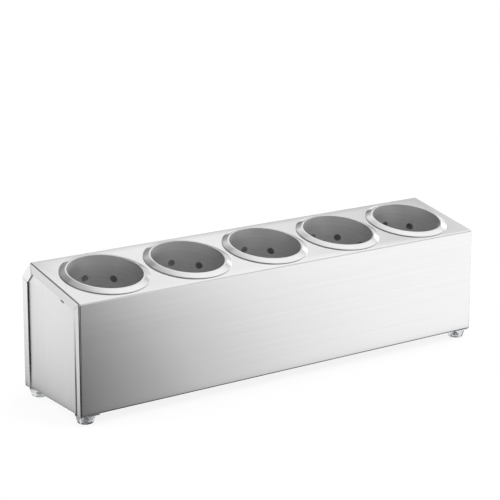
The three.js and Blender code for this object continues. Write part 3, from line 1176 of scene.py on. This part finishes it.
@dataclass
class Rack:
    """The whole rack: stand, end panels, cylinders and feet."""

    view: EndView = EndView()
    turns: tuple[float, ...] = (89, 80, 86, 93, 84)  # of the cylinders in their seats, in degrees
    seat: Point = (-0.012034, 0.165109)  # depth and height of the seats' middles
    corners: tuple[str, ...] = ("front_left", "front_right", "rear_left", "rear_right")
    # its end flanges carry painted shade, and a painted shade line beside the front flanges' cut
    # edges
    shell_steel: BrushedSteel = BrushedSteel(
        "satin_steel_along", Grain.ALONG_RACK, light=(0.93, 0.93, 0.93), dark=(0.875, 0.875, 0.878),
        roughness=0.21, stretch=0.55, turn=0.25, flange_shade_share=0.80, edge_shade_share=0.03)
    panel_steel: BrushedSteel = BrushedSteel(
        "satin_steel_upright", Grain.UPRIGHT, light=(0.96, 0.96, 0.96), dark=(0.83, 0.83, 0.834),
        stretch=0.4)
    cup_steel: BrushedSteel = BrushedSteel(
        "turned_steel", Grain.TURNED, light=(1.0, 1.0, 1.0), dark=(0.72, 0.72, 0.724),
        roughness=0.55, spread=0.34, stretch=0.7, turn=0.25, rim_roughness=0.17)

    @staticmethod
    def middle(node: str) -> Vector:
        """The middle of a node, put down to the floor."""
        low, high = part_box(node)
        return Vector(((low.x + high.x) / 2, (low.y + high.y) / 2, 0))

    def build_stand(self) -> None:
        """Makes the folded stand and the plates in its ends."""
        feet = [self.middle(f"foot_{corner}") for corner in self.corners]
        seats = [Vector((self.middle(f"cutlery_cylinder_{i + 1}").x, *self.seat))
                 for i in range(len(self.turns))]
        shell = FoldedStand(self.view).build(seats, feet)
        shell.fit("stand", ["body_shell"], "stand_steel", self.shell_steel.material())
        steel = self.panel_steel.material()
        for side, word in ((-1, "left"), (1, "right")):
            name = f"end_panel_{word}"
            under = [foot for foot in feet if foot.x * side > 0]
            panel = EndPanel(self.view, side).build(f"{name}_dressed", under)
            panel.fit("stand", [name], "panel_steel", steel)

    def build_cylinders(self) -> None:
        """Makes one cup and stands a copy in every seat."""
        cup = CutleryCylinder().build()
        steel = self.cup_steel.material()
        for i, turn in enumerate(self.turns):
            node = f"cutlery_cylinder_{i + 1}"
            piece = cup.copy(f"{node}_dressed")
            place = Matrix.Translation((self.middle(node).x, *self.seat))
            piece.put(place @ Matrix.Rotation(self.view.slope, 4, "X")
                      @ Matrix.Rotation(radians(turn), 4, "Z"))
            piece.fit(f"cylinder_{i + 1}", [node], "cylinder_steel", steel)
        cup.discard()

    def build_feet(self) -> None:
        """Makes one foot with its fixings and puts a copy under every corner."""
        shapes = FootSet()
        rubber, zinc = ClearRubber().material(), ZincPlate().material()
        for prefix, pattern, slot, material in (
                ("foot", shapes.foot(), "clear_rubber", rubber),
                ("foot_washer", shapes.washer_ring(), "fixing_steel", zinc),
                ("foot_screw", shapes.screw(), "fixing_steel", zinc),
                ("foot_nut", shapes.nut(), "fixing_steel", zinc)):
            for corner in self.corners:
                piece = pattern.copy(f"{prefix}_{corner}_dressed")
                piece.put(Matrix.Translation(self.middle(f"foot_{corner}")))
                piece.fit("stand", [f"{prefix}_{corner}"], slot, material)
            pattern.discard()

    def build(self) -> None:
        """Makes every piece of the rack."""
        self.build_stand()
        self.build_cylinders()
        self.build_feet()


@dataclass(frozen=True)
class Card:
    """A flat card that shows only in the gloss of the pieces, its level changing across it."""

    name: str
    low: Triple  # lowest corner
    high: Triple  # highest corner; the card is flat in the direction in which the two agree
    ramps: tuple[tuple[Triple, Stops], ...]  # directions, each with distances and levels along it

    @staticmethod
    def ramp(bench: NodeBench, lean: Triple, stops: Stops) -> Signal:
        """The level along one direction.

        Args:
            bench: Where the nodes go.
            lean: The direction.
            stops: Distances and levels along it.

        Returns:
            The level at each point.
        """
        place = bench.signal("ShaderNodeTexCoord", output="Object")
        along = bench.signal("ShaderNodeVectorMath", {"operation": "DOT_PRODUCT"}, {
            0: place, 1: lean}, output="Value")
        first, last = stops[0][0], stops[-1][0]
        share = (along - first) * (1 / (last - first))
        return bench.signal("ShaderNodeValToRGB", {"stops": [
            ((where - first) / (last - first), (level, level, level, 1)) for where, level in stops
        ]}, {0: share})

    def build(self) -> None:
        """Puts the card up."""
        piece = Workpiece.block(self.name, Vector(self.low), Vector(self.high))
        with piece.editing("VERT"):
            bpy.ops.mesh.remove_doubles(threshold=MERGE)
            bpy.ops.mesh.dissolve_limited()
        bench = NodeBench(bpy.data.materials.new(self.name))
        level, *others = (self.ramp(bench, lean, stops) for lean, stops in self.ramps)
        for other in others:
            level = level * other
        glow = bench.add("ShaderNodeEmission", None, {"Color": level, "Strength": 1.0})
        card = piece.obj
        card.data.materials.append(bench.finish(glow))
        card.visible_camera = card.visible_diffuse = card.visible_shadow = False
        card.visible_transmission = card.visible_volume_scatter = False


# Glowing cards seen only as reflections in the gloss. Where the floor cards turn dark next to the
# rack, that is a painted shadow of the rack on the floor.
CARDS = (
    Card("front_floor_card", (-0.311, -8.0, FLOOR_CARD), (6.0, -0.045, FLOOR_CARD), (
        ((1.0, 0.45, 0.0), (
            (-0.50, 0.01), (-0.36, 0.10), (-0.31, 0.24), (-0.22, 0.42), (-0.16, 0.57),
            (-0.09, 0.68), (0.0, 0.82), (0.15, 0.95), (0.30, 1.0), (0.55, 1.05))),
        # painted shadow: dark within a few centimetres of the front face and under it
        ((0.0, -1.0, 0.0), ((0.045, 0.02), (0.080, 0.03), (0.098, 1.0))))),
    Card("corner_floor_card", (-8.0, -8.0, FLOOR_CARD), (-0.312, -0.0735, FLOOR_CARD), (
        ((0.559, -0.829, 0.0), (
            (-0.25, 0.01), (-0.114, 0.01), (-0.09, 0.08), (-0.04, 0.32), (0.1, 0.65), (0.9, 0.95))),
        ((0.848, -0.53, 0.0), ((-0.30, 1.0), (-0.245, 1.0), (-0.205, 0.03), (0.0, 0.03))))),
    Card("left_floor_card", (-8.0, -0.073, FLOOR_CARD), (-0.312, 8.0, FLOOR_CARD), (
        # painted shadow: dark next to the left end
        ((-1.0, 0.0, 0.0), (
            (0.312, 0.02), (0.318, 0.03), (0.328, 0.54), (0.36, 0.66), (0.45, 0.88), (0.60, 1.0),
            (1.0, 1.02))),
        # painted shade near the front left corner
        ((0.68, 0.73, 0.0), ((-0.30, 0.01), (-0.275, 0.01), (-0.255, 1.0))))),
    Card("front_canopy_card", (-16.0, -16.0, CANOPY), (16.0, 1.9, CANOPY), (
        ((1.0, 0.0, 0.0), (
            (-6.0, 0.20), (-2.2, 0.30), (-0.6, 0.50), (0.1, 0.88), (0.7, 1.02), (1.2, 1.06),
            (6.0, 1.05))),
        ((0.0, 1.0, 0.0), (
            (-6.0, 0.50), (-1.7, 0.70), (-0.4, 0.95), (0.3, 1.0), (1.0, 0.92), (1.9, 0.75))))),
    Card("rear_canopy_card", (-16.0, 1.9, CANOPY), (16.0, 16.0, CANOPY), (
        ((1.0, 0.0, 0.0), (
            (-3.0, 0.20), (-0.6, 0.26), (0.0, 0.34), (0.35, 0.55), (0.8, 0.75), (1.2, 0.90),
            (1.8, 0.92), (2.1, 0.92), (2.5, 1.05), (3.05, 1.0), (3.6, 0.78), (4.2, 0.55),
            (5.2, 0.70), (7.5, 2.6))),
        ((0.0, 1.0, 0.0), (
            (1.9, 1.0), (3.7, 1.0), (4.4, 0.65), (5.1, 0.42), (7.0, 0.28), (12.0, 0.38))))),
    Card("rear_floor_card", (-0.3115, 0.0735, FLOOR_CARD), (8.0, 8.0, FLOOR_CARD), (
        ((1.0, 0.0, 0.0), ((-0.45, 0.60), (-0.1, 0.82), (0.3, 0.98), (0.6, 0.98))),
        # painted shadow: dark next to the rear face
        ((0.0, 1.0, 0.0), ((0.075, 0.05), (0.085, 0.06), (0.105, 1.0))))),
    Card("right_floor_card", (0.3115, -0.0445, FLOOR_CARD), (8.0, 0.073, FLOOR_CARD), (
        # painted shadow: darker next to the right end
        ((1.0, 0.0, 0.0), ((0.3115, 0.3), (0.34, 0.6), (0.6, 1.0))),)),
)


@dataclass(frozen=True)
class Lamp:
    """A square soft lamp."""

    name: str
    place: Triple
    size: float  # its width
    power: float  # in watts
    target: Triple = (0.0, 0.0, 0.09)  # what it points at

    def build(self) -> None:
        """Hangs the lamp."""
        lamp = bpy.data.lights.new(self.name, "AREA")
        lamp.shape, lamp.size, lamp.energy = "SQUARE", self.size, self.power
        holder = bpy.data.objects.new(self.name, lamp)
        holder.location = self.place
        line = Vector(self.target) - Vector(self.place)
        holder.rotation_euler = line.to_track_quat("-Z", "Y").to_euler()
        holder.visible_glossy = False
        bpy.context.collection.objects.link(holder)


@dataclass
class Studio:
    """A white floor under a white sky, with soft lamps, and cards for the metal to mirror."""

    floor_size: float = 60.0
    floor_colour: Colour = (1.0, 1.0, 1.0)  # under the lamps
    grain: Point = (0.98, 3.0)  # share of that colour in its darker patches, and their fineness
    shade: float = 0.16  # share of the lamps' shading that the floor shows to the camera
    mirrored: float = 0.4  # share of the floor's whiteness left in gloss and clear pieces
    glow: float = 1.02  # strength of that whiteness
    sky: float = 0.9  # strength of the sky's light
    bounces: int = 16  # how often light is followed from metal to metal
    lamps: tuple[Lamp, ...] = (
        Lamp("key_lamp", (0.9, -1.2, 1.6), 1.2, 12),
        Lamp("fill_lamp", (-1.6, 0.6, 1.2), 1.0, 5))
    cards: tuple[Card, ...] = CARDS

    @staticmethod
    def seen(bench: NodeBench, mirrored: float = 1.0) -> Signal:
        """One for what the camera sees, a share for what a gloss or a clear piece sees.

        Args:
            bench: Where the nodes go.
            mirrored: The share for gloss and clear pieces.

        Returns:
            The share, zero for all other light.
        """
        path = bench.add("ShaderNodeLightPath")
        camera, glossy, through = (Signal(bench, path.outputs[f"Is {kind} Ray"])
                                   for kind in ("Camera", "Glossy", "Transmission"))
        return camera.most(mirrored * glossy.most(through))

    def build_sky(self) -> None:
        """White for the camera and the gloss, and the sky's own strength for the rest."""
        world = bpy.data.worlds.new("white_sky")
        bpy.context.scene.world = world
        bench = NodeBench(world)
        strength = self.sky + (1 - self.sky) * self.seen(bench)
        bench.finish(bench.add("ShaderNodeBackground", None, {
            "Color": (1, 1, 1, 1), "Strength": strength}), "World")

    def build_floor(self) -> None:
        """A wide pale floor that looks white and keeps a soft shadow."""
        Workpiece.clear_bench()
        bpy.ops.mesh.primitive_plane_add(size=self.floor_size)
        floor = bpy.context.active_object
        floor.name = "floor"
        bench = NodeBench(bpy.data.materials.new("white_floor"))
        share, fineness = self.grain
        darker = tuple(share * c for c in self.floor_colour)
        paper = bench.add("ShaderNodeBsdfDiffuse", None, {"Color": bench.tint(
            bench.noise(bench.place(), fineness), darker, self.floor_colour)})
        glow = bench.add("ShaderNodeEmission", None, {"Color": (1, 1, 1, 1), "Strength": self.glow})
        mix = bench.add("ShaderNodeMixShader", None, {
            0: (1 - self.shade) * self.seen(bench, self.mirrored), 1: paper.outputs[0],
            2: glow.outputs[0]})
        floor.data.materials.append(bench.finish(mix))

    def build(self) -> None:
        """Sets up sky, floor, lamps and cards."""
        self.build_sky()
        self.build_floor()
        for fitting in (*self.lamps, *self.cards):
            fitting.build()
        scene = bpy.context.scene
        scene.view_settings.view_transform = "Standard"
        scene.cycles.max_bounces = scene.cycles.glossy_bounces = self.bounces
        log.info("studio: floor, sky, %d lamps and %d cards", len(self.lamps), len(self.cards))


@dataclass
class PhotoCamera:
    """The camera at the photograph's viewpoint."""

    place: Triple = (-1.2265, -1.7196, 0.7207)
    forward: Triple = (0.56249, 0.79851, -0.21445)
    right: Triple = (0.81785, -0.57542, 0.00258)
    lens: float = 120.18  # focal length in millimetres, for the sensor's width
    sensor: float = 36.0  # width in millimetres
    shift: float = -0.15  # upright shift of the lens, as a share of the picture
    clip: Point = (0.01, 100.0)  # nearest and farthest that it sees

    def build(self) -> None:
        """Sets up the camera and makes it the scene's own."""
        data = bpy.data.cameras.new("camera")
        data.lens, data.sensor_width, data.sensor_fit = self.lens, self.sensor, "HORIZONTAL"
        data.shift_y, (data.clip_start, data.clip_end) = self.shift, self.clip
        camera = bpy.data.objects.new("camera", data)
        back, right = -Vector(self.forward).normalized(), Vector(self.right)
        up = back.cross(right).normalized()
        right = up.cross(back)
        turn = Matrix((right, up, back)).transposed().to_4x4()
        camera.matrix_world = Matrix.Translation(self.place) @ turn
        bpy.context.collection.objects.link(camera)
        bpy.context.scene.camera = camera


def main() -> None:
    """Builds the camera, the rack and the studio in order."""
    logging.basicConfig(level=logging.INFO, format="%(message)s")
    PhotoCamera().build()
    Rack().build()
    Studio().build()


if __name__ == "__main__":
    main()
